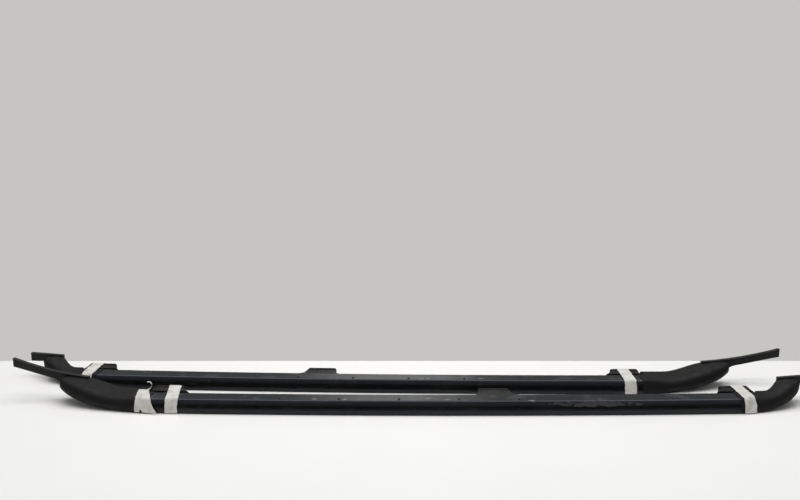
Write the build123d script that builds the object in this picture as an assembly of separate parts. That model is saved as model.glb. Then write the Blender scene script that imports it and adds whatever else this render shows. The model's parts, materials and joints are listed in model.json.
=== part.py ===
from build123d import *

import math
import os

# A pair of raised roof side rails, lying on their outer sides as they come off a vehicle.
# Rail frame: x runs along the rail with the long end at -x, y runs from the bar's crown down to the
# roof, and z runs inboard, so that z = 0 is the outer side, which lies on the floor.

# Bar: a hollow extrusion bent to the curve of the roof
bar_depth = 58.0
bar_height = 36.5
bar_wall = 2.5
bar_front_lean = 30.0
bar_front_top_radius = 5.0
bar_front_low_radius = 3.0
bar_back_radius = 4.0
crown_radius = 19000.0
crown_apex = 150.0
long_joint = 662.0
short_joint = 848.0
mark_hole_diameter = 4.5
mark_hole_pitch = 153.0
mark_hole_count = 5
mark_hole_start = -329.0
mark_hole_inset = 20.0

# Roof line under the rail
roof_drop = 112.0

# Fits
seat_gap = 0.2
joint_gap = 0.4
plug_clearance = 0.4
screw_clearance = 0.2

# End covers: moulded shells from the bar's end down to the roof
cover_wall = 2.6
cover_proud = 0.8
cover_arch = 22.0
nose_height = 25.0
nose_taper = 0.42
nose_wall = 3.9
long_cover_length = 266.0
short_cover_length = 189.0
long_cover_low_rise = 36.0
short_cover_low_rise = 41.0
long_cover_high_rise = 26.0
short_cover_high_rise = 22.0
screw_boss_width = 10.0

# Course of the covers: shares of their length where a change begins and ends, and how late it comes
arch_span = (0.1, 0.6)
nose_span = (0.7, 1.12)
long_kick_span = (0.3, 1.0)
short_kick_span = (0.45, 0.87)
crown_delay = 1.6
sweep_delay = 3.0
cover_stations = (0, 0.12, 0.24, 0.36, 0.48, 0.59, 0.69, 0.78, 0.86, 0.92, 0.97, 1)
inner_stations = (0, 0.24, 0.48, 0.69, 0.86, 0.97, 1)

# Base strips: channels that lie on the roof under the covers and run out as tongues
strip_depth = 10.0
strip_wall = 3.0
strip_rim = 5.0
tongue_width = 23.0
tongue_fillet_run = 24.0
lip_thickness = 1.6
lip_height = 2.0
long_strip_overlap = 71.0
short_strip_overlap = 46.0
left_long_tongue_length = 132.0
right_long_tongue_length = 148.0
short_tongue_length = 50.0
short_tongue_root = 63.5
short_tongue_tip = 66.0
left_long_tongue_root = 71.0
left_long_tongue_tip = 109.0
right_long_tongue_root = 67.0
right_long_tongue_tip = 97.0

# Feet: castings between the bar and the roof
gasket_thickness = 12.0
gasket_proud = 1.0
foot_low = 2.0
foot_top_inset = 1.5
foot_wall = 4.0
foot_corner = 5.0
pad_length = 99.0
pad_slant = 22.0
pad_depth = 28.0
saddle_step = 12.0
saddle_width = 20.0
saddle_wall = 8.0
long_pad_reach = 15.0
short_pad_reach = 65.0
plug_length = 40.0
arm_thickness = 12.0
arm_front = 13.0
mid_foot_x = 228.0
mid_foot_length = 92.0
mid_foot_taper = 6.0
mid_flare_inner = 20.0
mid_flare_outer = 44.0
mid_flare_depth = 16.0
mid_flare_edge = 2.0
mid_foot_inset = 3.5

# Fasteners
stud_diameter = 8.0
stud_length = 22.0
stud_root = 16.0
stud_collar_width = 14.0
stud_collar_thickness = 3.0
stud_boss_diameter = 18.0
long_stud_inset = 55.0
short_stud_inset = 39.0
screw_diameter = 6.0
screw_head_width = 10.0
screw_head_height = 4.0
screw_reach = 14.0
end_screw_inset = 12.0
mid_screw_spacing = 46.0
cover_screw_diameter = 4.2
cover_screw_length = 14.0
cover_screw_head_width = 7.0
cover_screw_head_height = 2.4

# Masking tape, as found
tape_width = 32.0
torn_tape_width = 39.0
tape_thickness = 0.4
tape_gap = 0.6
tape_back_gap = 0.8
tape_tail = 11.0
torn_tape_reach = 70.0
tape_floor_gap = 1.5
tape_back_radius = 3.0
left_long_tape_inset = 60.0
right_long_tape_inset = 37.0
torn_tape_overhang = 22.0
short_tape_overhang = 29.0

# How the two rails lie beside each other
left_shift = 20.0
rail_spacing = 164.5
right_yaw = 2.1

# Worked out from the above
strip_top = roof_drop - strip_depth
gasket_top = roof_drop - gasket_thickness
foot_high = bar_height - foot_top_inset
foot_middle = (foot_low + foot_high) / 2
pad_front = gasket_top - pad_depth
pad_floor = pad_front + foot_wall
mid_floor = bar_depth + seat_gap + saddle_wall


def station(x):
    """Frame on the crowned rail at x: its x runs along the bar and its y runs down to the roof."""
    angle = math.asin((x - crown_apex) / crown_radius)
    sag = crown_radius * (1 - math.cos(angle))
    return Location((x, sag, 0), (0, 0, math.degrees(angle)))


def ramp(t, start, end):
    """Smooth climb from 0 at start to 1 at end."""
    s = min(max((t - start) / (end - start), 0), 1)
    return s * s * (3 - 2 * s)


def block(low, high):
    """Box between two corners."""
    size = Vector(*high) - Vector(*low)
    middle = (Vector(*high) + Vector(*low)) * 0.5
    return Location(middle) * Box(size.X, size.Y, size.Z)


def post(x, z, start, end, diameter):
    """Round bar along y between two depths."""
    frame = Location((x, (start + end) / 2, z), (90, 0, 0))
    return frame * Cylinder(diameter / 2, end - start)


def arc(centre, radius, angle):
    """Point on a circle in (y, z) whose outward normal points to the front, raised by angle."""
    turn = math.radians(angle)
    return centre[0] - radius * math.cos(turn), centre[1] + radius * math.sin(turn)


def front_course(low, high, low_radius, top_radius):
    """Points (y, z) up the front, which leans back along an arc, and over its bend to the flat top."""
    lean = math.radians(bar_front_lean)
    foot = low[1] + low_radius
    radius = (high - top_radius * (1 - math.sin(lean)) - foot) / math.sin(lean)
    centre = (low[0] + radius, foot)
    bend = arc(centre, radius, bar_front_lean)
    top_centre = (bend[0] + top_radius * math.cos(lean), high - top_radius)
    return (
        arc(centre, radius, 0),
        arc(centre, radius, bar_front_lean / 2),
        bend,
        arc(top_centre, top_radius, (90 + bar_front_lean) / 2),
        arc(top_centre, top_radius, 90),
    )


def outline(x, low, high, radii, rounded=True):
    """Closed outline in the plane at x between the corners low and high, given as (y, z).

    Radii run front low, roof low, roof top, front top. The curves are chords where it isn't rounded.
    """
    low_radius, back_low, back_top, top_radius = [max(radius, 0) for radius in radii]
    foot, swell, bend, shoulder, crown = front_course(low, high[1], low_radius, top_radius)
    share = 1 - math.sqrt(0.5)
    turns = [
        (foot, swell, bend),
        (bend, shoulder, crown),
        (
            (high[0] - back_top, high[1]),
            (high[0] - share * back_top, high[1] - share * back_top),
            (high[0], high[1] - back_top),
        ),
        (
            (high[0], low[1] + back_low),
            (high[0] - share * back_low, low[1] + share * back_low),
            (high[0] - back_low, low[1]),
        ),
        (
            (low[0] + low_radius, low[1]),
            (low[0] + share * low_radius, low[1] + share * low_radius),
            foot,
        ),
    ]
    edges = []
    for index, turn in enumerate(turns):
        first, middle, last = [Vector(x, *point) for point in turn]
        following = Vector(x, *turns[(index + 1) % len(turns)][0])
        if first != last and rounded:
            edges.append(ThreePointArc(first, middle, last))
        elif first != last:
            edges += [Line(first, middle), Line(middle, last)]
        if last != following:
            edges.append(Line(last, following))
    return Face(Wire(edges))


def bar_face(inset, rounded):
    """The bar's section at its apex, drawn in by inset."""
    radii = (bar_front_low_radius, bar_back_radius, bar_back_radius, bar_front_top_radius)
    drawn_in = [radius - inset for radius in radii]
    high = (bar_depth - inset, bar_height - inset)
    return outline(crown_apex, (inset, inset), high, drawn_in, rounded)


def make_bar():
    start = math.degrees(math.asin((-long_joint - crown_apex) / crown_radius))
    end = math.degrees(math.asin((short_joint - crown_apex) / crown_radius))
    axis = Axis((crown_apex, crown_radius, 0), (0, 0, 1))
    bar = revolve(bar_face(0, True) - bar_face(bar_wall, False), axis, end - start).rotate(axis, start)
    for index in range(mark_hole_count):
        frame = station(mark_hole_start + index * mark_hole_pitch)
        drill = Cylinder(mark_hole_diameter / 2, 3 * bar_wall)
        bar -= frame * Location((0, mark_hole_inset, bar_height)) * drill
    hole = screw_diameter + 2 * screw_clearance
    for x in screw_places():
        bar -= station(x) * post(0, foot_middle, bar_depth - 2 * bar_wall, bar_depth + bar_wall, hole)
    return bar


def screw_places():
    """Where the foot screws go into the bar, along the rail."""
    half = mid_screw_spacing / 2
    return (
        -long_joint + end_screw_inset,
        mid_foot_x - half,
        mid_foot_x + half,
        short_joint - end_screw_inset,
    )


class End:
    """One end of the rail, with x running outwards from the bar's end."""

    def __init__(
        self, length, low_rise, high_rise, kick, pad_reach, stud_inset, overlap, tongue_length, root, tip
    ):
        self.length = length
        self.low_rise = low_rise
        self.high_rise = high_rise
        self.kick = kick
        self.pad_reach = pad_reach
        self.stud_x = pad_reach - stud_inset
        self.strip_start = length - overlap
        self.tip = length + tongue_length
        self.root_height = root
        self.tip_height = tip

    def front(self, t):
        """Depth of the cover's crown, which dives to the roof along a rounded curve."""
        fall = roof_drop - nose_height + cover_proud
        return -cover_proud + fall * (1 - math.sqrt(max(1 - t ** crown_delay, 0)))

    def roof_edge(self, t):
        """Depth of the cover's lower edge, arched between the foot and the nose."""
        return roof_drop - cover_arch * (1 - ramp(t, *arch_span))

    def sides(self, t):
        """Outer and inboard side of the cover, which sweeps inboard and closes round the nose."""
        low = self.low_rise * t ** sweep_delay
        high = bar_height + cover_proud + self.high_rise * ramp(t, *self.kick)
        closing = 1 - math.sqrt(1 - ramp(t, *nose_span) ** 2)
        pinch = (high - low) * nose_taper * closing / 2
        return low + pinch, high - pinch

    def section(self, t, x, inset=0, rounded=True):
        low, high = self.sides(t)
        drawn_in = (bar_front_low_radius - inset, 0, 0, bar_front_top_radius - inset)
        first = (self.front(t) + inset, low + inset)
        reach = cover_arch if inset else 0
        last = (self.roof_edge(t) + reach, high - inset)
        return outline(x, first, last, drawn_in, rounded)

    def screw_x(self):
        return (self.strip_start + self.length) / 2

    def screw_z(self):
        return sum(self.sides(self.screw_x() / self.length)) / 2


def make_cover(end):
    """Moulded shell, open to the roof, notched round the foot and seated on the base strip."""
    outer = [end.section(t, joint_gap + t * (end.length - joint_gap)) for t in cover_stations]
    inner = []
    for t in inner_stations:
        inner_x = -cover_wall + t * (end.length - nose_wall + cover_wall)
        inner.append(end.section(t, inner_x, cover_wall, False))
    cover = loft(outer, ruled=True) - loft(inner, ruled=True)
    far = 2 * roof_drop
    notch_end = end.pad_reach + joint_gap
    cover -= block((-cover_wall, bar_depth + joint_gap, -far), (notch_end, far, far))
    cover -= block((-cover_wall, gasket_top - joint_gap, -far), (notch_end + gasket_proud, far, far))
    seat = strip_top - seat_gap
    cover -= block((end.strip_start - joint_gap, seat, -far), (2 * end.length, far, far))
    x = end.screw_x()
    z = end.screw_z()
    half = screw_boss_width / 2
    front = end.front(x / end.length) + cover_wall / 2
    boss = block((x - half, front, z - half), (x + half, seat, z + half))
    hole = cover_screw_diameter + 2 * screw_clearance
    return cover + boss - post(x, z, seat - cover_screw_length, seat, hole)


def strip_plan(end, inset=0):
    """Plan of the base strip, drawn in by inset: a plate under the nose that narrows to the tongue."""
    start = end.strip_start + inset
    tip = end.tip - inset
    start_low, start_high = end.sides(end.strip_start / end.length)
    middle = (end.strip_start + end.length) / 2
    slope = (end.tip_height - end.root_height) / (end.tip - end.length)
    root_x = end.length + tongue_fillet_run
    root_z = end.root_height + slope * tongue_fillet_run - tongue_width + inset
    nose = Vector(end.length - inset, end.sides(1)[0] + inset)
    top = Spline(
        (start, start_high + strip_rim - inset),
        (end.length, end.root_height - inset),
        (tip, end.tip_height - inset),
    )
    under_nose = Spline(
        (start, start_low + inset), (middle, end.sides(middle / end.length)[0] + inset), nose
    )
    turn = Spline(nose, (root_x, root_z), tangents=[under_nose % 1, (1, slope)])
    tongue = Line(turn @ 1, (tip, end.tip_height - tongue_width + inset))
    edges = [top, Line(top @ 1, tongue @ 1), tongue, turn, under_nose, Line(under_nose @ 0, top @ 0)]
    return make_face(edges)


def lay(plan, start, end):
    """Extrude a plan drawn in (x, z) from one depth to another."""
    ground = Plane(origin=(0, end, 0), x_dir=(1, 0, 0), z_dir=(0, -1, 0))
    return extrude(ground * plan, end - start)


def stand(side, low, high):
    """Extrude a side view drawn in (x, y) from one height to another."""
    return extrude(Plane.XY.offset(low) * side, high - low)


def make_strip(end):
    """Channel with its web up, its flanges on the roof and a lip along its inboard edge."""
    plan = strip_plan(end)
    strip = lay(plan, strip_top, roof_drop)
    strip += lay(plan - Location((0, -lip_thickness)) * plan, strip_top - lip_height, strip_top)
    strip -= lay(strip_plan(end, strip_wall), strip_top + strip_wall, roof_drop + strip_wall)
    hole = cover_screw_diameter + 4 * screw_clearance
    return strip - post(end.screw_x(), end.screw_z(), strip_top - strip_wall, roof_drop, hole)


def hexagon(x, z, start, end, width):
    """Hexagonal bar along y between two depths, given by its width across flats."""
    return lay(Location((x, z)) * RegularPolygon(width / 2, 6, major_radius=False), start, end)


def make_cover_screw(end):
    """Self-tapping screw from the channel of the base strip up into the cover's boss."""
    seat = strip_top + strip_wall + seat_gap
    x = end.screw_x()
    z = end.screw_z()
    shank = post(x, z, strip_top - cover_screw_length + strip_wall, seat, cover_screw_diameter)
    return shank + hexagon(x, z, seat, seat + cover_screw_head_height, cover_screw_head_width)


def pad_side(inner, outer, front, wall, depth):
    """Side view of an end foot's base, drawn in by wall, with its slanted inner end."""
    slant = pad_slant / pad_depth
    first = inner + wall + slant * (front - pad_front)
    last = inner + wall + slant * (depth - pad_front)
    return make_face(
        Polyline((first, front), (last, depth), (outer - wall, depth), (outer - wall, front), close=True)
    )


def add_stud_boss(foot, x, front):
    """Boss for the roof stud, with its blind hole."""
    foot += post(x, foot_middle, front, gasket_top, stud_boss_diameter)
    hole = stud_diameter + 2 * screw_clearance
    return foot - post(x, foot_middle, gasket_top - stud_root - screw_clearance, roof_drop, hole)


def make_end_foot(end):
    """Casting with a slanted hollow base, a saddle under the bar and a plug in the bar's bore."""
    outer = end.pad_reach
    inner = outer - pad_length
    foot = stand(pad_side(inner, outer, pad_front, 0, gasket_top), foot_low, foot_high)
    corners = foot.edges().filter_by(Axis.Z, reverse=True).filter_by(Axis.X, reverse=True)
    foot = fillet(corners, foot_corner)
    hollow = pad_side(inner, outer, pad_floor, foot_wall, roof_drop)
    foot -= stand(hollow, foot_low + foot_wall, foot_high - foot_wall)
    low = foot_middle - saddle_width / 2
    high = foot_middle + saddle_width / 2
    bore = bar_wall + plug_clearance
    foot += block((inner + saddle_step, bar_depth + seat_gap, low), (arm_thickness, pad_floor, high))
    foot += block((joint_gap, arm_front, low), (arm_thickness, pad_floor, high))
    foot += block((-joint_gap, arm_front, low), (joint_gap, bar_depth - bore, high))
    plug = Location((-plug_length - crown_apex, 0, 0)) * bar_face(bore, False)
    foot += extrude(plug, plug_length, dir=(1, 0, 0))
    foot = add_stud_boss(foot, end.stud_x, pad_floor)
    hole = screw_diameter + 2 * screw_clearance
    return foot - post(-end_screw_inset, foot_middle, bar_depth - screw_reach, pad_floor, hole)


def mid_side(start, end, wall, front, depth):
    """Side view of the middle foot's column, drawn in by wall."""
    return make_face(
        Polyline(
            (start + wall, front),
            (start + mid_foot_taper + wall, depth),
            (end - mid_foot_taper - wall, depth),
            (end - wall, front),
            close=True,
        )
    )


def make_mid_foot():
    """Casting that flares out along the bar and stands hollow on the roof."""
    half = mid_foot_length / 2
    reach = half + max(mid_flare_inner, mid_flare_outer)
    top = bar_depth + seat_gap + reach ** 2 / (2 * crown_radius)
    edge = top + mid_flare_edge
    waist = bar_depth + mid_flare_depth
    side = make_face(
        [
            Line((-half - mid_flare_inner, edge), (-half - mid_flare_inner, top)),
            Line((-half - mid_flare_inner, top), (half + mid_flare_outer, top)),
            Line((half + mid_flare_outer, top), (half + mid_flare_outer, edge)),
            TangentArc((half + mid_flare_outer, edge), (half, waist), tangent=(-1, 0)),
            Line((half, waist), (half - mid_foot_taper, gasket_top)),
            Line((half - mid_foot_taper, gasket_top), (-half + mid_foot_taper, gasket_top)),
            Line((-half + mid_foot_taper, gasket_top), (-half, waist)),
            TangentArc((-half - mid_flare_inner, edge), (-half, waist), tangent=(1, 0)),
        ]
    )
    foot = stand(side, foot_low, bar_height - mid_foot_inset)
    hollow = mid_side(-half, half, foot_wall, mid_floor, roof_drop)
    foot -= stand(hollow, foot_low + foot_wall, foot_high - foot_wall)
    foot = add_stud_boss(foot, 0, mid_floor)
    hole = screw_diameter + 2 * screw_clearance
    for x in (-mid_screw_spacing / 2, mid_screw_spacing / 2):
        foot -= post(x, foot_middle, top, mid_floor, hole)
    return foot


def make_gasket(start, end, top_edge, stud_x):
    """Rubber pad between a foot and the roof, with a hole round the stud's collar."""
    low = foot_low - gasket_proud
    plan = Location(((start + end) / 2, (low + top_edge) / 2)) * RectangleRounded(
        end - start + 2 * gasket_proud, top_edge - low, foot_corner + gasket_proud
    )
    hole = stud_collar_width / math.cos(math.pi / 6) + 4 * screw_clearance
    return lay(plan, gasket_top, roof_drop) - post(stud_x, foot_middle, gasket_top, roof_drop, hole)


def make_stud(x):
    """Threaded stud set in a foot, with a collar on the casting, standing out through the roof."""
    shank = post(x, foot_middle, gasket_top - stud_root, roof_drop + stud_length, stud_diameter)
    seat = gasket_top + seat_gap
    return shank + hexagon(x, foot_middle, seat, seat + stud_collar_thickness, stud_collar_width)


def make_screw(x, seat):
    """Screw with its head against the inside of a foot and its end in the bar."""
    under = seat + seat_gap
    head = hexagon(x, foot_middle, under, under + screw_head_height, screw_head_width)
    end = bar_depth - screw_reach + screw_clearance
    return head + post(x, foot_middle, end, under, screw_diameter)


def tape_line(grow, torn):
    """Course of a tape band: up the front, over the top and, unless torn, down behind the pad."""
    out = cover_proud + tape_gap + grow
    top = bar_height + out
    low = (-out, -tape_gap - grow)
    course = front_course(low, top, bar_front_low_radius + out, bar_front_top_radius + out)
    foot, swell, bend, shoulder, crown = [Vector(*point) for point in course]
    back = torn_tape_reach if torn else roof_drop + tape_back_gap + grow
    over = [crown, (back, top)]
    if not torn:
        over.append((back, top - tape_tail - grow))
    curve = [
        Line((foot.X, tape_floor_gap), foot),
        ThreePointArc(foot, swell, bend),
        ThreePointArc(bend, shoulder, crown),
        Line(*over) if torn else FilletPolyline(*over, radius=tape_back_radius + grow),
    ]
    return Curve() + curve


def make_tape(width, torn=False):
    """One band of masking tape, centred on x = 0."""
    inner = tape_line(0, torn)
    outer = tape_line(tape_thickness, torn)
    ends = [Line(inner @ 0, outer @ 0), Line(inner @ 1, outer @ 1)]
    face = make_face([inner.edges(), outer.edges(), *ends])
    return Location((-width / 2, 0, 0)) * extrude(Plane.YZ * face, width)


def on_long_end(solid):
    return station(-long_joint) * mirror(solid, about=Plane.YZ)


def on_short_end(solid):
    return station(short_joint) * solid


def long_end(tongue_length, root, tip):
    return End(
        long_cover_length, long_cover_low_rise, long_cover_high_rise, long_kick_span, long_pad_reach,
        long_stud_inset, long_strip_overlap, tongue_length, root, tip,
    )


left_long = long_end(left_long_tongue_length, left_long_tongue_root, left_long_tongue_tip)
right_long = long_end(right_long_tongue_length, right_long_tongue_root, right_long_tongue_tip)
short = End(
    short_cover_length, short_cover_low_rise, short_cover_high_rise, short_kick_span, short_pad_reach,
    short_stud_inset, short_strip_overlap, short_tongue_length, short_tongue_root, short_tongue_tip,
)
at_mid = station(mid_foot_x)
mid_base = mid_foot_length / 2 - mid_foot_taper
end_screw = make_screw(-end_screw_inset, pad_floor)
end_gasket_top = foot_high + gasket_proud
mid_gasket_top = bar_height - mid_foot_inset + gasket_proud
long_inner = long_pad_reach - pad_length + pad_slant
short_inner = short_pad_reach - pad_length + pad_slant

rail = {
    "bar": make_bar(),
    "end_covers": Compound(
        [on_long_end(make_cover(left_long)).solid(), on_short_end(make_cover(short)).solid()]
    ),
    "long_foot": on_long_end(make_end_foot(left_long)),
    "mid_foot": at_mid * make_mid_foot(),
    "short_foot": on_short_end(make_end_foot(short)),
    "long_gasket": on_long_end(make_gasket(long_inner, long_pad_reach, end_gasket_top, left_long.stud_x)),
    "mid_gasket": at_mid * make_gasket(-mid_base, mid_base, mid_gasket_top, 0),
    "short_gasket": on_short_end(make_gasket(short_inner, short_pad_reach, end_gasket_top, short.stud_x)),
    "roof_studs": Compound(
        [
            on_long_end(make_stud(left_long.stud_x)).solid(),
            (at_mid * make_stud(0)).solid(),
            on_short_end(make_stud(short.stud_x)).solid(),
        ]
    ),
    "foot_screws": Compound(
        [
            on_long_end(end_screw).solid(),
            (at_mid * make_screw(-mid_screw_spacing / 2, mid_floor)).solid(),
            (at_mid * make_screw(mid_screw_spacing / 2, mid_floor)).solid(),
            on_short_end(end_screw).solid(),
        ]
    ),
    "cover_screws": Compound(
        [on_long_end(make_cover_screw(left_long)).solid(), on_short_end(make_cover_screw(short)).solid()]
    ),
}
tape = make_tape(tape_width)
short_tape = station(short_joint + short_tape_overhang) * tape
short_strip = on_short_end(make_strip(short)).solid()
left = {
    "base_strips": Compound([on_long_end(make_strip(left_long)).solid(), short_strip]),
    "long_tape": station(left_long_tape_inset - long_joint) * tape,
    "torn_tape": station(-long_joint - torn_tape_overhang) * make_tape(torn_tape_width, True),
    "short_tape": short_tape,
}
right = {
    "base_strips": Compound([on_long_end(make_strip(right_long)).solid(), short_strip]),
    "long_tape": station(right_long_tape_inset - long_joint) * tape,
    "short_tape": short_tape,
}

# The left rail lies in front, the right rail is its mirror image behind it
left_frame = Location((left_shift, 0, 0))
right_frame = Location((0, rail_spacing, 0), (0, 0, -right_yaw))
pieces = {f"left_{name}": left_frame * solid for name, solid in {**rail, **left}.items()}
for name, solid in {**rail, **right}.items():
    pieces[f"right_{name}"] = right_frame * mirror(solid, about=Plane.YZ)

# The origin is on the floor, under the middle of the pair
box = Compound([solid for piece in pieces.values() for solid in piece.solids()]).bounding_box()
to_origin = Location((-box.center().X, -box.center().Y, -box.min.Z))
os.makedirs("parts", exist_ok=True)
for name, piece in pieces.items():
    export_step(to_origin * piece, f"parts/{name}.step")
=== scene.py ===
"""Looks of the roof side rail pair: finishes, masking tape, wear, floor, wall, light and camera."""

import json
import math
from dataclasses import dataclass

import bmesh
import bpy
from mathutils import Matrix, Vector, noise
from mathutils.bvhtree import BVHTree


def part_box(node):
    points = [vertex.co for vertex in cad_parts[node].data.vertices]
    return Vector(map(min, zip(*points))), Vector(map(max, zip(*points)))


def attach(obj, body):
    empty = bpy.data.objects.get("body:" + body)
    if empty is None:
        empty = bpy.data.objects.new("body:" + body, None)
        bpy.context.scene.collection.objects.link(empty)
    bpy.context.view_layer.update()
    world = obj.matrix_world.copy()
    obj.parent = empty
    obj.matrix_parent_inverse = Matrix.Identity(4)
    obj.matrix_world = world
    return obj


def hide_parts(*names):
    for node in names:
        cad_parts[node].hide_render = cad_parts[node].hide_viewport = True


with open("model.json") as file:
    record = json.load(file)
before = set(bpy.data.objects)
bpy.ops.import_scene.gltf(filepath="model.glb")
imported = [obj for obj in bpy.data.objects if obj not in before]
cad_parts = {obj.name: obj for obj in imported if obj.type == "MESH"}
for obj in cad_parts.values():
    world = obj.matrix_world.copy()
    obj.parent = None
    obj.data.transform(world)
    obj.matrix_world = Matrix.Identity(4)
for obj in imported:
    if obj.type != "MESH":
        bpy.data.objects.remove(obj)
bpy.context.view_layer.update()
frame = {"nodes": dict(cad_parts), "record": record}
nodes = frame["nodes"]

# The part's rail frame, in metres: x along the rail, y from the crown down to the roof, z inboard
crown_radius = 19.0
crown_apex = 0.150
long_joint = 0.662
short_joint = 0.848
bar_depth = 0.058
bar_height = 0.0365
mark_hole_start = -0.329
mark_hole_pitch = 0.153
mark_hole_count = 5
mark_hole_inset = 0.020
roof_drop = 0.112
left_shift = 0.020
rail_spacing = 0.1645
right_yaw = math.radians(2.1)

# Camera, found from the photograph
image_width = 800
focal_pixels = 792
camera_pitch = math.radians(9.5)
camera_back = 1.9045
camera_height = 0.744
camera_along = 0.642

# Floor, wall and light
floor_reach = 7.0
wall_behind = 0.459
wall_level = 0.565
wall_tint = (1.0, 0.99, 0.95, 1)
wall_gloss = 0.12
wall_rise = (-0.1, 0.5)
glow_level = 0.85
glow_place = -0.01
glow_fade = (0.02, 0.14)
room_level = 0.06
fill_level = 0.34
lamp_place = (0, 0.3, 2.6)
lamp_aim = (0, 0, 0)
lamp_size = (4.5, 2.5)
lamp_power = 88

bar_low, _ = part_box("left_bar")
origin = Vector((bar_low.x + long_joint - left_shift, bar_low.y, 0))
sides = ("left", "right")
tiny = 1e-6


def rail_point(side, x, y, z, beyond=0.0):
    """Point of a rail in the row's frame, or one that lies beyond x in a straight line."""
    angle = math.asin((x - crown_apex) / crown_radius)
    sag = crown_radius * (1 - math.cos(angle))
    along = x + math.cos(angle) * beyond - math.sin(angle) * y
    across = sag + math.sin(angle) * beyond + math.cos(angle) * y
    if side == "left":
        return origin + Vector((along + left_shift, across, z))
    turned = Matrix.Rotation(-right_yaw, 3, "Z") @ Vector((-along, across, z))
    return origin + turned + Vector((0, rail_spacing, 0))


class Nodes:
    """Short calls for the nodes of a material or a world."""

    def __init__(self, tree):
        self.tree = tree

    def add(self, kind, **values):
        """A node, with its inputs and settings given by name."""
        node = self.tree.nodes.new(kind)
        for name, value in values.items():
            if name in node.inputs:
                node.inputs[name].default_value = value
            else:
                setattr(node, name, value)
        return node

    def link(self, source, target):
        self.tree.links.new(source, target)

    def spread(self, source, span, result=(0.0, 1.0), smooth=False):
        """Map a span of values to another one, held at its ends."""
        node = self.add("ShaderNodeMapRange", interpolation_type="SMOOTHSTEP" if smooth else "LINEAR")
        for socket, value in zip(node.inputs[1:], (*span, *result)):
            socket.default_value = value
        self.link(source, node.inputs[0])
        return node.outputs[0]

    def math(self, operation, *values):
        """Arithmetic with numbers or sockets."""
        node = self.add("ShaderNodeMath", operation=operation)
        for socket, value in zip(node.inputs, values):
            if isinstance(value, (int, float)):
                socket.default_value = value
            else:
                self.link(value, socket)
        return node.outputs[0]

    def times(self, first, second):
        return self.math("MULTIPLY", first, second)

    def blend(self, share, first, second):
        """Shader between two others."""
        node = self.add("ShaderNodeMixShader")
        for socket, source in zip(node.inputs, (share, first, second)):
            self.link(source, socket)
        return node.outputs[0]


class Finish(Nodes):
    """A material with short calls for noise, upward faces for dust and painted sheen, and smudges."""

    upward_span = (0.6, 1.0)
    smudge_core = 0.4

    def __init__(self, name, roughness, **values):
        self.material = bpy.data.materials.new(name)
        self.material.use_nodes = True
        super().__init__(self.material.node_tree)
        self.shader = self.tree.nodes["Principled BSDF"]
        self.shader.inputs["Roughness"].default_value = roughness
        for socket, value in values.items():
            self.shader.inputs[socket.replace("_", " ")].default_value = value
        self.place = self.add("ShaderNodeTexCoord").outputs["Object"]

    def mapped(self, source, **values):
        """Coordinates that are scaled and moved."""
        node = self.add("ShaderNodeMapping", **values)
        self.link(source, node.inputs["Vector"])
        return node.outputs["Vector"]

    def noise(self, scale, detail, source=None):
        """Noise with one scale, or with one for each axis."""
        vector = source or self.place
        if isinstance(scale, tuple):
            vector = self.mapped(vector, Scale=scale)
            scale = 1
        node = self.add("ShaderNodeTexNoise", Scale=scale, Detail=detail)
        self.link(vector, node.inputs["Vector"])
        return node.outputs["Fac"]

    def mix(self, share, first, second):
        """Colour between two colours or sockets, by a socket's share."""
        node = self.add("ShaderNodeMix", data_type="RGBA")
        self.link(share, node.inputs[0])
        for socket, value in ((node.inputs[6], first), (node.inputs[7], second)):
            if isinstance(value, tuple):
                socket.default_value = (*value, 1)
            else:
                self.link(value, socket)
        return node.outputs[2]

    def smudges(self, marks):
        """Soft patches round given places, as (centre, half sizes)."""
        patches = 0
        for centre, size in marks:
            location = [-place / half for place, half in zip(centre, size)]
            local = self.mapped(self.place, Location=location, Scale=[1 / half for half in size])
            distance = self.add("ShaderNodeVectorMath", operation="LENGTH")
            self.link(local, distance.inputs[0])
            patch = self.spread(distance.outputs["Value"], (self.smudge_core, 1.0), (1.0, 0.0))
            patches = self.math("MAXIMUM", patches, patch)
        return patches

    def upward(self, span=upward_span):
        """How far a surface faces up, for dust and for the bars' painted sheen."""
        split = self.add("ShaderNodeSeparateXYZ")
        self.link(self.add("ShaderNodeNewGeometry").outputs["Normal"], split.inputs[0])
        return self.spread(split.outputs["Z"], span)

    def colour(self, source):
        self.link(source, self.shader.inputs["Base Color"])

    def rough(self, source):
        self.link(source, self.shader.inputs["Roughness"])

    def bump(self, height, distance, strength):
        node = self.add("ShaderNodeBump", Distance=distance, Strength=strength)
        self.link(height, node.inputs["Height"])
        self.link(node.outputs["Normal"], self.shader.inputs["Normal"])

    def surface(self, shader):
        """Show another shader in place of the material's own."""
        self.link(shader, self.tree.nodes["Material Output"].inputs["Surface"])


# Scuffs on the bars: side, x along the rail, y and z on the section, half length
scuffs = (
    ("left", -0.239, 0.019, 0.036, 0.010),
    ("left", -0.160, 0.019, 0.036, 0.009),
    ("left", 0.051, 0.028, 0.0365, 0.013),
    ("left", 0.100, 0.019, 0.036, 0.011),
    ("left", 0.314, 0.012, 0.034, 0.012),
    ("right", -0.058, 0.019, 0.036, 0.010),
    ("right", -0.078, 0.024, 0.0365, 0.008),
    ("right", -0.222, 0.024, 0.0365, 0.009),
)
scuff_half_section = (0.004, 0.006)

# The paler jagged stretch on the near bar's front and the darker matt patches round the marking holes
pale_stretch_centre = (0.470, 0.0075, 0.0275)
pale_stretch_half_size = (0.150, 0.010, 0.010)
hole_patch_half_size = (0.0045, 0.009, 0.006)
hole_patch_roughness = 0.65

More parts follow.
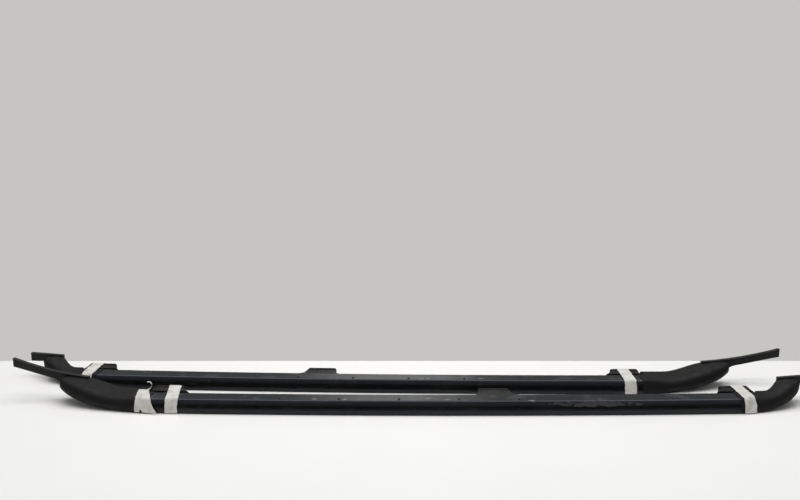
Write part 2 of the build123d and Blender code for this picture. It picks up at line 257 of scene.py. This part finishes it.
# Paint of the bars and the layers on it
clean_black = (0.0035, 0.0035, 0.0038)
dull_black = (0.008, 0.008, 0.008)
# Bluish grey of the painted sheen on the bars' leaning front edge, and of the dust blotches on their tops
sheen_and_dust_colour = (0.046, 0.051, 0.061)
scratch_colour = (0.05, 0.05, 0.05)
# Grey of the paler jagged stretch on the near bar's front
pale_stretch_colour = (0.058, 0.058, 0.060)
scuff_colour = (0.30, 0.30, 0.30)
# Near black of the matt patches round the marking holes
hole_patch_colour = (0.002, 0.002, 0.002)


def bar_sheen_and_dust(paint, streaks):
    """A lighter band painted on the leaning front edge as painted sheen, weaker on the top, with hazy
    dust blotches on the top.
    """
    leaning = paint.upward((0.31, 0.5))
    edge = paint.times(leaning, paint.spread(paint.upward(), (0.0, 1.0), (0.9, 0.3)))
    # Painted sheen: lighter where the front edge leans up, broken by the streaks
    painted_sheen = paint.times(edge, paint.spread(streaks, (0.3, 0.65), (0.5, 1.0)))
    blotches = paint.spread(paint.noise(scale=20, detail=5), (0.50, 0.62), (0.0, 0.75))
    haze = paint.times(blotches, paint.upward((0.93, 1.0)))
    return paint.math("MAXIMUM", painted_sheen, haze)


def bar_scuffs(paint):
    """Short light marks, broken up along the bar."""
    marks = [(rail_point(side, x, y, z), (half, *scuff_half_section)) for side, x, y, z, half in scuffs]
    broken = paint.spread(paint.noise(scale=(120, 500, 500), detail=4), (0.40, 0.55))
    return paint.times(paint.smudges(marks), broken)


def bar_pale_stretch(paint):
    """A paler stretch of the near bar's front, with a jagged edge."""
    stretch = paint.smudges([(rail_point("left", *pale_stretch_centre), pale_stretch_half_size)])
    jagged = paint.spread(paint.noise(scale=(60, 150, 150), detail=4), (0.3, 0.7))
    return paint.spread(paint.math("ADD", stretch, jagged), (1.0, 1.08))


def hole_dark_patches(paint):
    """Darker, matt patches round the marking holes."""
    marks = []
    for side in sides:
        for index in range(mark_hole_count):
            x = mark_hole_start + index * mark_hole_pitch
            marks.append((rail_point(side, x, mark_hole_inset, bar_height), hole_patch_half_size))
    return paint.smudges(marks)


def bar_finish():
    """Gloss black paint with painted sheen on the leaning front edge, dust on the top, fine scratches
    along the bar, scuffs, a paler jagged stretch and darker matt patches round the marking holes.
    """
    paint = Finish("bar_gloss", 0.2, Specular_IOR_Level=0.36, Specular_Tint=(0.88, 0.94, 1.0, 1))
    dulled = paint.spread(paint.noise(scale=14, detail=6), (0.45, 0.75))
    streaks = paint.noise(scale=(9, 700, 700), detail=4)
    scratches = paint.times(paint.spread(streaks, (0.62, 0.72)), paint.times(dulled, paint.upward()))
    hole_patches = hole_dark_patches(paint)
    layers = (
        # Painted sheen on the leaning front edge, with dust on the top
        (bar_sheen_and_dust(paint, streaks), sheen_and_dust_colour),
        (scratches, scratch_colour),
        (bar_pale_stretch(paint), pale_stretch_colour),
        (bar_scuffs(paint), scuff_colour),
        (hole_patches, hole_patch_colour),
    )
    colour = paint.mix(dulled, clean_black, dull_black)
    for share, layer in layers:
        colour = paint.mix(share, colour, layer)
    paint.colour(colour)
    clouds = paint.spread(paint.noise(scale=40, detail=5), (0.3, 0.8), (0.15, 0.32))
    paint.rough(paint.math("ADD", clouds, paint.times(hole_patches, hole_patch_roughness)))
    paint.bump(paint.noise(scale=420, detail=2), distance=0.00012, strength=0.25)
    return paint.material


def moulded_finish(name, base, dusty, roughness, grain):
    """Matt black moulded plastic or casting with a fine grain and a film of dust."""
    plastic = Finish(name, roughness, Specular_IOR_Level=0.22)
    clouds = plastic.spread(plastic.noise(scale=22, detail=6), (0.3, 0.75))
    plastic.colour(plastic.mix(plastic.times(clouds, plastic.upward()), (base,) * 3, (dusty,) * 3))
    patchy = (roughness - 0.08, roughness + 0.1)
    plastic.rough(plastic.spread(plastic.noise(scale=60, detail=4), (0.3, 0.7), patchy))
    plastic.bump(plastic.noise(scale=grain, detail=2), distance=0.00015, strength=0.5)
    return plastic.material


def steel_finish():
    """Zinc plated steel, dull, with darker blotches."""
    steel = Finish("fastener_steel", 0.35, Metallic=1.0)
    bright = (0.5, 0.5, 0.48)
    dark = (0.32, 0.31, 0.29)
    steel.colour(steel.mix(steel.spread(steel.noise(scale=180, detail=4), (0.35, 0.7)), bright, dark))
    steel.rough(steel.spread(steel.noise(scale=300, detail=3), (0.3, 0.7), (0.3, 0.5)))
    return steel.material


def tape_finish():
    """White creped paper, a little soiled, with fine ridges across the band."""
    paper = Finish("tape_paper", 0.75, Specular_IOR_Level=0.25)
    fresh = (0.70, 0.69, 0.65)
    soiled = (0.45, 0.44, 0.40)
    paper.colour(paper.mix(paper.spread(paper.noise(scale=45, detail=5), (0.45, 0.8)), fresh, soiled))
    unrolled = paper.add("ShaderNodeTexCoord").outputs["UV"]
    crepe = paper.noise(scale=(900, 120, 1), detail=2, source=unrolled)
    paper.bump(crepe, distance=0.0002, strength=0.5)
    return paper.material


finishes = {
    "bar_gloss": bar_finish(),
    "cover_plastic": moulded_finish("cover_plastic", base=0.008, dusty=0.010, roughness=0.6, grain=1500),
    "strip_plastic": moulded_finish("strip_plastic", base=0.019, dusty=0.045, roughness=0.62, grain=1100),
    "cast_metal": moulded_finish("cast_metal", base=0.009, dusty=0.026, roughness=0.45, grain=700),
    "gasket_rubber": moulded_finish("gasket_rubber", base=0.008, dusty=0.016, roughness=0.75, grain=900),
    "fastener_steel": steel_finish(),
    "tape_paper": tape_finish(),
}
for subpart in frame["record"]["subparts"]:
    mesh = nodes[subpart["node"]].data
    mesh.materials.clear()
    mesh.materials.append(finishes[subpart["material_slot"]])


def ramp(t, start, end):
    """Smooth climb from 0 at start to 1 at end."""
    s = min(max((t - start) / (end - start), 0), 1)
    return s * s * (3 - 2 * s)


def quarter(t):
    """Rise of a quarter circle, flat at 0 and steep at 1."""
    return 1 - math.sqrt(max(1 - t * t, 0))


def line_points(start, end, count):
    """Even points from start to end, without start."""
    return [start.lerp(end, i / count) for i in range(1, count + 1)]


def arc_points(centre, radius, start, end, count):
    """Points on an arc, without its first. An angle of 0 faces the front, and a quarter turn the top."""
    angles = [start + (end - start) * i / count for i in range(1, count + 1)]
    return [centre + radius * Vector((-math.cos(angle), math.sin(angle))) for angle in angles]


@dataclass
class Cover:
    """Course of one moulded end cover, in metres outwards from the bar's end.

    Spans are shares of its length, where a change begins and ends.
    """

    length: float
    low_rise: float
    high_rise: float
    kick_span: tuple
    arch: float
    arch_span: tuple
    low_round: float
    pad_reach: float
    overlap: float

    # Wall, fits and the seat of the base strip
    wall = 0.0026
    proud = 0.0008
    joint_gap = 0.0004
    seat_gap = 0.0002
    strip_depth = 0.010

    # Fall of the front, sweep of the outer side and drawing in of the nose
    nose_height = 0.025
    nose_round = 0.007
    nose_draw = 0.8
    nose_pinch = 0.21
    nose_span = (0.7, 1.12)
    crown_delay = 0.8
    sweep_delay = 3

    # Lean of the front, and rounding of its edges within a share of the room there
    bar_lean = math.radians(30)
    nose_lean = math.radians(12)
    lean_span = (0.4, 0.95)
    top_radius = 0.005
    top_round = 0.021
    top_span = (0.01, 0.3)
    low_radius = 0.003
    low_span = (0.03, 0.4)
    front_share = 0.62
    top_share = 0.7
    low_share = 0.5
    least_panel = 0.0005

    # Steps round a section, and sections along the cover
    panel_steps = 3
    side_steps = 4
    low_arc_steps = 6
    front_arc_steps = 10
    top_arc_steps = 12
    top_steps = 6
    station_count = 56
    station_crowding = 1.7

    @property
    def notch_end(self):
        """Where the notch for the foot's pad ends."""
        return self.pad_reach + self.joint_gap

    @property
    def strip_start(self):
        """Where the base strip begins."""
        return self.length - self.overlap

    def stations(self):
        """Places of the sections, closer together towards the nose."""
        places = {self.notch_end, self.strip_start - self.joint_gap, self.strip_start + tiny}
        for i in range(1, self.station_count + 1):
            places.add(self.length * (1 - (1 - i / self.station_count) ** self.station_crowding))
        return [self.joint_gap, *sorted(x for x in places if x > self.joint_gap)]

    def box(self, x):
        """Front, outer side, inboard side and roof edge at x, drawn in round the nose."""
        t = x / self.length
        fall = roof_drop - self.nose_height + self.proud
        front = -self.proud + fall * quarter(t ** self.crown_delay)
        low = self.low_rise * t ** self.sweep_delay
        high = bar_height + self.proud + self.high_rise * ramp(t, *self.kick_span)
        pinch = self.nose_pinch * (high - low) * quarter(ramp(t, *self.nose_span))
        into_nose = max(0.0, x - self.length + self.nose_round) / self.nose_round
        inset = self.nose_draw * self.nose_round * quarter(into_nose)
        edge = roof_drop - self.arch * (1 - ramp(t, *self.arch_span))
        if x > self.strip_start:
            edge = min(edge, roof_drop - self.strip_depth - self.seat_gap)
        return front + inset, low + pinch + inset, high - pinch - inset, edge

    def section(self, x):
        """Points (y, z) at x: along the outer side, round the front and back over the top.

        The panels beyond the bar's depth, which the notch cuts, are the first and last few steps.
        """
        front, low, high, back = self.box(x)
        t = x / self.length
        room = self.front_share * (back - front)
        lean = self.bar_lean - (self.bar_lean - self.nose_lean) * ramp(t, *self.lean_span)
        top_radius = self.top_radius + self.top_round * ramp(t, *self.top_span)
        top_radius = min(top_radius, self.top_share * room)
        low_radius = self.low_radius + self.low_round * ramp(t, *self.low_span)
        low_radius = min(low_radius, self.low_share * room)
        foot = low + low_radius
        radius = (high - top_radius * (1 - math.sin(lean)) - foot) / math.sin(lean)
        low_centre = Vector((front + low_radius, foot))
        front_centre = Vector((front + radius, foot))
        bend = front_centre + radius * Vector((-math.cos(lean), math.sin(lean)))
        top_centre = bend + top_radius * Vector((math.cos(lean), -math.sin(lean)))
        split = max(bar_depth + self.joint_gap, front + room, top_centre.x + self.least_panel)
        split = min(split, back - self.least_panel)
        low_back, low_split = Vector((back, low)), Vector((split, low))
        top_split, top_back = Vector((split, high)), Vector((back, high))
        points = [low_back, *line_points(low_back, low_split, self.panel_steps)]
        points += line_points(low_split, Vector((low_centre.x, low)), self.side_steps)
        points += arc_points(low_centre, low_radius, -math.pi / 2, 0, self.low_arc_steps)
        points += arc_points(front_centre, radius, 0, lean, self.front_arc_steps)
        points += arc_points(top_centre, top_radius, lean, math.pi / 2, self.top_arc_steps)
        points += line_points(Vector((top_centre.x, high)), top_split, self.top_steps)
        points += line_points(top_split, top_back, self.panel_steps)
        return points


long_cover = Cover(
    length=0.266,
    low_rise=0.036,
    high_rise=0.026,
    kick_span=(0.3, 1.0),
    arch=0.027,
    arch_span=(0.28, 0.72),
    low_round=0.010,
    pad_reach=0.015,
    overlap=0.071,
)
short_cover = Cover(
    length=0.189,
    low_rise=0.041,
    high_rise=0.022,
    kick_span=(0.45, 0.87),
    arch=0.045,
    arch_span=(0.48, 0.85),
    low_round=0.003,
    pad_reach=0.065,
    overlap=0.046,
)


def add_cover(shell, side, joint, outwards, cover):
    """One cover as an open sheet in a bmesh.

    It is a run of sections with a notch for the foot's pad, a rib behind the notch and a closed nose.
    """
    rows = []
    for x in cover.stations():
        places = [rail_point(side, joint, *point, outwards * x) for point in cover.section(x)]
        rows.append((x, [shell.verts.new(place) for place in places]))
    skin = []
    for (start, first), (_, second) in zip(rows, rows[1:]):
        cut = cover.panel_steps if start < cover.notch_end - tiny else 0
        for i in range(cut, len(first) - 1 - cut):
            skin.append(shell.faces.new((first[i], first[i + 1], second[i + 1], second[i])))
    front_face = skin[len(rows[0][1]) // 2 - cover.panel_steps]
    skin.append(shell.faces.new(rows[-1][1]))
    bmesh.ops.recalc_face_normals(shell, faces=skin)
    if front_face.normal.y > 0:
        bmesh.ops.reverse_faces(shell, faces=skin)
    notch = next(row for x, row in rows if abs(x - cover.notch_end) < tiny)
    corners = (0, cover.panel_steps, -1 - cover.panel_steps, -1)
    rib = shell.faces.new([shell.verts.new(notch[corner].co) for corner in corners])
    rib.normal_update()
    towards_bar = rail_point(side, joint, 0, 0) - rail_point(side, joint, 0, 0, outwards)
    if rib.normal.dot(towards_bar) < 0:
        bmesh.ops.reverse_faces(shell, faces=[rib])


def make_covers(side):
    """Both end covers of a rail as smooth shells of an even wall."""
    shell = bmesh.new()
    add_cover(shell, side, -long_joint, -1, long_cover)
    add_cover(shell, side, short_joint, 1, short_cover)
    mesh = bpy.data.meshes.new(f"{side}_cover_shells")
    shell.to_mesh(mesh)
    shell.free()
    mesh.shade_smooth()
    mesh.materials.append(finishes["cover_plastic"])
    covers = bpy.data.objects.new(f"{side}_cover_shells", mesh)
    bpy.context.scene.collection.objects.link(covers)
    wall = covers.modifiers.new("wall", "SOLIDIFY")
    wall.thickness = Cover.wall
    wall.offset = -1
    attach(covers, "root")
    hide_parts(f"{side}_end_covers")
    return covers


cover_shells = {side: make_covers(side) for side in sides}

# Masking tape: sizes in metres, counts of columns and rows, and the crinkles of the paper
tape_width = 0.032
tape_gap = 0.0011
tape_floor_gap = 0.0016
tape_step = 0.0016
tape_columns = 24
tape_rows = 70
tape_easing = 3
tape_front_share = 0.25
crinkle_height = 0.0005
broad_crinkle = 0.8
fine_crinkle = 0.6
fine_crinkle_scale = 3.1
crinkles_across = 5
rows_in_crinkle = 6
edge_zone = 0.2
edge_wander_width = 0.0012
edge_wander_scale = 9
rows_in_wander = 4

# Torn band: ragged and narrower towards its torn end, flared and notched at its lower end
torn_width = 0.040
torn_reach = 0.070
torn_rows = 56
torn_front_share = 0.36
torn_narrowing = 0.34
torn_rag = 0.004
torn_rag_scale = 11
torn_rag_layer = 0
flare = 0.020
flare_lift = 0.006
flare_height = 0.4
flare_curve = 1.5
notch_place = -0.1
notch_half_width = 0.11
notch_height = 0.009
foot_rag = 0.0012
foot_rag_scale = 14
foot_rag_layer = 4

# Curl of paper at the torn end, as points of the rail
curl_course = (
    (-0.687, 0.060, 0.0395),
    (-0.678, 0.063, 0.043),
    (-0.673, 0.066, 0.050),
    (-0.674, 0.068, 0.057),
    (-0.680, 0.069, 0.061),
    (-0.686, 0.069, 0.060),
)
curl_step = 0.002
curl_half_width = 0.0022
curl_taper = 0.5
curl_tilt = 0.8
curl_flat_place = (0.1, 0.05)


def solid_tree(side):
    """The solids of one rail that tape can lie on, for casting rays at them."""
    corners = []
    faces = []
    under = {**nodes, f"{side}_end_covers": cover_shells[side]}
    for name, node in under.items():
        if not name.startswith(side) or any(word in name for word in ("tape", "studs", "screws")):
            continue
        start = len(corners)
        corners += [vertex.co.copy() for vertex in node.data.vertices]
        faces += [[start + index for index in face.vertices] for face in node.data.polygons]
    return BVHTree.FromPolygons(corners, faces)


def section_points(side, tree, x):
    """Points (y, z) of the rail's outside in the plane at x, from rays at its front, back and top."""
    steps = 48
    reach = 0.2
    lowest = 0.0005
    tallest = 0.08
    margin = 0.01
    rays = []
    for index in range(steps + 1):
        share = index / steps
        height = lowest + share * tallest
        depth = -margin + share * (roof_drop + 2 * margin)
        rays.append(((-reach, height), (1, 0)))
        rays.append(((roof_drop + reach, height), (-1, 0)))
        rays.append(((depth, tallest + reach), (0, -1)))
    found = []
    for (y, z), (along_y, along_z) in rays:
        start = rail_point(side, x, y, z)
        ahead = rail_point(side, x, y + along_y, z + along_z) - start
        hit, _, _, distance = tree.ray_cast(start, ahead.normalized())
        if hit is not None:
            found.append((y + along_y * distance, z + along_z * distance))
    return found


def taut_course(points, tail):
    """Course of a tight band: up the front, over the hull of the section and down behind it."""
    decimals = 5
    back_wall = 0.0005
    hull = []
    for point in sorted(set((round(y, decimals), round(z, decimals)) for y, z in points)):
        while len(hull) > 1:
            (y0, z0), (y1, z1) = hull[-2:]
            if (y1 - y0) * (point[1] - z0) - (z1 - z0) * (point[0] - y0) < 0:
                break
            hull.pop()
        hull.append(point)
    front, back = hull[0], hull[-1]
    while len(hull) > 2 and hull[-2][0] > back[0] - back_wall:
        hull.pop()
    course = [(front[0], tape_floor_gap), *hull, (back[0], hull[-1][1] - tail)]
    return [Vector(point) for point in course]


def evenly(course, step):
    """Points at an even spacing along a course."""
    points = [course[0]]
    for start, end in zip(course, course[1:]):
        points += line_points(start, end, max(1, round((end - start).length / step)))
    return points


def eased(points):
    """Points with their corners rounded."""
    for _ in range(tape_easing):
        middles = [(a + 2 * b + c) / 4 for a, b, c in zip(points, points[1:], points[2:])]
        points = [points[0], *middles, points[-1]]
    return points


def resampled(points, count):
    """A fixed number of points, evenly along a course, with its length."""
    lengths = [0.0]
    for start, end in zip(points, points[1:]):
        lengths.append(lengths[-1] + (end - start).length)
    total = lengths[-1]
    result = []
    segment = 0
    for index in range(count):
        target = total * index / (count - 1)
        while segment < len(points) - 2 and lengths[segment + 1] < target:
            segment += 1
        span = lengths[segment + 1] - lengths[segment]
        share = (target - lengths[segment]) / span if span else 0
        result.append(points[segment].lerp(points[segment + 1], share))
    return result, total


def outward(points, index):
    """Normal of a course that runs front to back over the rail, away from the rail."""
    before = points[max(index - 1, 0)]
    after = points[min(index + 1, len(points) - 1)]
    along = (after - before).normalized()
    return Vector((-along.y, along.x))


def cut_short(course, reach):
    """The course up to a given depth."""
    kept = [course[0]]
    for start, end in zip(course, course[1:]):
        if end.x > reach:
            kept.append(start.lerp(end, (reach - start.x) / (end.x - start.x)))
            break
        kept.append(end)
    return kept


def crinkled(points, index, share, seed):
    """A point of a course, lifted off the rail by the band's crinkles."""
    place = Vector((share * crinkles_across, index / rows_in_crinkle, seed))
    broad = broad_crinkle * (1 + noise.noise(place))
    fine = fine_crinkle * (1 + noise.noise(place * fine_crinkle_scale))
    moved = points[index] + outward(points, index) * (tape_gap + crinkle_height * (broad + fine))
    return moved.x, max(moved.y, tape_floor_gap)


def over_top(progress, front_share):
    """How far a point lies across the rail's top, from 0 at its front edge to 1 at the band's end."""
    return max(0, progress - front_share) / (1 - front_share)


def edge_wander(share, index, seed):
    """Sideways wander of a band's ragged edges."""
    edge = max(0, abs(share) * 2 - (1 - edge_zone)) / edge_zone
    place = Vector((index / rows_in_wander, seed, share * edge_wander_scale))
    return edge_wander_width * edge * noise.noise(place)


def grid_faces(rows, mirrored):
    """Faces of a band's columns of points."""
    faces = []
    for column in range(tape_columns):
        for row in range(rows - 1):
            first = column * rows + row
            corners = (first, first + 1, first + 1 + rows, first + rows)
            faces.append(corners[::-1] if mirrored else corners)
    return faces


def add_sheet(name, side, vertices, faces, unrolled):
    """A tape piece made of points of a rail, with the places of its points when laid flat."""
    mesh = bpy.data.meshes.new(name)
    mesh.from_pydata([rail_point(side, *point) for point in vertices], [], faces)
    mesh.shade_smooth()
    layer = mesh.uv_layers.new(name="unrolled")
    for loop in mesh.loops:
        layer.data[loop.index].uv = unrolled[loop.vertex_index]
    mesh.materials.append(finishes["tape_paper"])
    tape = bpy.data.objects.new(name, mesh)
    bpy.context.scene.collection.objects.link(tape)
    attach(tape, "root")
    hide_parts(name.replace("_band", "_tape"))
    under = [node for node in nodes if node.startswith(side) and node.endswith(("_bar", "_foot"))]
    under.append(cover_shells[side].name)


def make_tape(name, side, x, lean, tail, seed):
    """A band of masking tape pulled tight round the rail, with crinkles and ragged edges.

    Behind the bar it stays level with what lies under its middle.
    """
    tree = solid_tree(side)
    pad = [point for point in section_points(side, tree, x) if point[0] > bar_depth]
    vertices = []
    unrolled = []
    for column in range(tape_columns + 1):
        share = column / tape_columns - 0.5
        here = x + share * tape_width
        course = taut_course(section_points(side, tree, here) + pad, tail)
        points, length = resampled(eased(evenly(course, tape_step)), tape_rows)
        for index in range(tape_rows):
            progress = index / (tape_rows - 1)
            drift = lean * over_top(progress, tape_front_share) + edge_wander(share, index, seed)
            vertices.append((here + drift, *crinkled(points, index, share, seed)))
            unrolled.append((length * progress, tape_width * (share + 0.5)))
    faces = grid_faces(tape_rows, side == "right")
    add_sheet(name, side, vertices, faces, unrolled)


def torn_course(side, tree, x, share, seed):
    """Course of a torn band at x, from its ragged, notched lower end to its torn end."""
    course = taut_course(section_points(side, tree, x), 0)
    notch = notch_height * max(0, 1 - abs(share - notch_place) / notch_half_width)
    ragged = foot_rag * (1 + noise.noise(Vector((share * foot_rag_scale, seed, foot_rag_layer))))
    foot = Vector((course[0].x, tape_floor_gap + notch + ragged))
    course = [foot, *(point for point in course[1:] if point.y > foot.y)]
    reach = torn_reach + torn_rag * noise.noise(Vector((share * torn_rag_scale, seed, torn_rag_layer)))
    return eased(evenly(cut_short(course, reach), tape_step))


def add_curl(vertices, faces, unrolled):
    """A narrow ribbon that curls up from the torn end."""
    ribbon = eased(evenly([Vector(point) for point in curl_course], curl_step))
    first = len(vertices)
    flat_x, flat_y = curl_flat_place
    for index, point in enumerate(ribbon):
        half = curl_half_width * (1 - curl_taper * index / len(ribbon))
        for edge in (-half, half):
            vertices.append((point.x, point.y + edge, point.z + edge * curl_tilt))
            unrolled.append((flat_x + index * curl_step, flat_y + edge))
    for index in range(len(ribbon) - 1):
        corner = first + 2 * index
        faces.append((corner, corner + 1, corner + 3, corner + 2))


def make_torn_tape(name, side, x, lean, seed):
    """A band that is torn off on top of the cover, with a flared, notched lower end and a curl."""
    tree = solid_tree(side)
    vertices = []
    unrolled = []
    for column in range(tape_columns + 1):
        share = column / tape_columns - 0.5
        here = x + share * torn_width + lean / 2
        points, length = resampled(torn_course(side, tree, here, share, seed), torn_rows)
        for index in range(torn_rows):
            progress = index / (torn_rows - 1)
            over = over_top(progress, torn_front_share)
            across = share * torn_width * (1 - torn_narrowing * over)
            slack = max(0, 2 * share) * max(0, 1 - progress / flare_height) ** flare_curve
            along = x + across + lean * over + flare * slack + edge_wander(share, index, seed)
            depth, height = crinkled(points, index, share, seed)
            vertices.append((along, depth - flare_lift * slack, height))
            unrolled.append((length * progress, torn_width * (share + 0.5)))
    faces = grid_faces(torn_rows, side == "right")
    add_curl(vertices, faces, unrolled)
    add_sheet(name, side, vertices, faces, unrolled)


make_tape("left_long_band", "left", x=-0.603, lean=-0.024, tail=0.010, seed=1.0)
make_torn_tape("left_torn_band", "left", x=-0.677, lean=-0.0195, seed=2.0)
make_tape("left_short_band", "left", x=0.873, lean=0.009, tail=0.010, seed=3.0)
make_tape("right_long_band", "right", x=-0.628, lean=-0.006, tail=0.011, seed=4.0)
make_tape("right_short_band", "right", x=0.877, lean=0.011, tail=0.012, seed=5.0)


def floor_finish():
    """White floor paint with faint clouds."""
    paint = Finish("floor_paint", 0.5, Specular_IOR_Level=0.3)
    white = (0.935, 0.93, 0.915)
    whiter = (0.955, 0.95, 0.935)
    paint.colour(paint.mix(paint.spread(paint.noise(scale=3, detail=5), (0.3, 0.7)), white, whiter))
    return paint.material


def wall_finish():
    """Plain pale wall that only the camera sees, and only from the front."""
    paint = Finish("wall_paint", 1.0)
    seen = paint.add("ShaderNodeLightPath").outputs["Is Camera Ray"]
    away = paint.add("ShaderNodeNewGeometry").outputs["Backfacing"]
    clear = paint.add("ShaderNodeBsdfTransparent").outputs[0]
    plain = paint.add("ShaderNodeEmission", Color=wall_tint, Strength=wall_level).outputs[0]
    paint.surface(paint.blend(paint.times(seen, paint.math("SUBTRACT", 1, away)), clear, plain))
    return paint.material


def make_backdrop(name, corners, finish):
    """One flat face that isn't part of the object."""
    mesh = bpy.data.meshes.new(name)
    mesh.from_pydata(corners, [], [(0, 1, 2, 3)])
    mesh.materials.append(finish)
    backdrop = bpy.data.objects.new(name, mesh)
    bpy.context.scene.collection.objects.link(backdrop)


def make_room():
    """A wide floor and a wall behind the rails."""
    reach = floor_reach
    wall_y = bar_low.y + wall_behind
    floor = [(-reach, -reach, 0), (reach, -reach, 0), (reach, reach, 0), (-reach, reach, 0)]
    wall = [(-reach, wall_y, 0), (reach, wall_y, 0), (reach, wall_y, reach), (-reach, wall_y, reach)]
    make_backdrop("floor", floor, floor_finish())
    make_backdrop("wall", wall, wall_finish())


def make_world():
    """Soft light all round in front of a pale background.

    Gloss shows a dim room in front of the rails and a paler wall behind them, with a glow in its middle.
    """
    world = bpy.data.worlds.new("studio")
    world.use_nodes = True
    bpy.context.scene.world = world
    sky = Nodes(world.node_tree)
    sky.tree.nodes.clear()
    split = sky.add("ShaderNodeSeparateXYZ")
    sky.link(sky.add("ShaderNodeTexCoord").outputs["Generated"], split.inputs[0])
    path = sky.add("ShaderNodeLightPath").outputs
    camera_ray = path["Is Camera Ray"]
    behind = sky.spread(split.outputs["Y"], wall_rise, smooth=True)
    aside = sky.math("ABSOLUTE", sky.math("SUBTRACT", split.outputs["X"], glow_place))
    glow = sky.spread(aside, glow_fade, (glow_level, wall_gloss), smooth=True)
    gloss = sky.math("ADD", sky.times(behind, glow), room_level)
    reflected = sky.times(sky.math("SUBTRACT", 1, camera_ray), gloss)
    seen = sky.add("ShaderNodeBackground", Color=wall_tint)
    sky.link(sky.math("ADD", sky.times(camera_ray, wall_level), reflected), seen.inputs["Strength"])
    fill = sky.add("ShaderNodeBackground", Strength=fill_level)
    shown = sky.math("MAXIMUM", camera_ray, path["Is Glossy Ray"])
    shown = sky.math("MAXIMUM", shown, path["Is Transmission Ray"])
    light = sky.blend(shown, fill.outputs[0], seen.outputs[0])
    sky.link(light, sky.add("ShaderNodeOutputWorld").inputs["Surface"])


def make_lamp():
    """A wide soft light under the ceiling."""
    data = bpy.data.lights.new("ceiling_light", "AREA")
    data.shape = "RECTANGLE"
    data.size, data.size_y = lamp_size
    data.energy = lamp_power
    lamp = bpy.data.objects.new("ceiling_light", data)
    lamp.location = lamp_place
    lamp.rotation_euler = (Vector(lamp_aim) - Vector(lamp_place)).to_track_quat("-Z", "Y").to_euler()
    bpy.context.scene.collection.objects.link(lamp)


def make_camera():
    """The photograph's view."""
    data = bpy.data.cameras.new("camera")
    data.lens = data.sensor_width * focal_pixels / image_width
    camera = bpy.data.objects.new("camera", data)
    camera.location = (bar_low.x + camera_along, bar_low.y - camera_back, camera_height)
    camera.rotation_euler = (math.pi / 2 - camera_pitch, 0, 0)
    bpy.context.scene.collection.objects.link(camera)
    bpy.context.scene.camera = camera


make_room()
make_world()
make_lamp()
make_camera()
bpy.context.scene.view_settings.view_transform = "Standard"
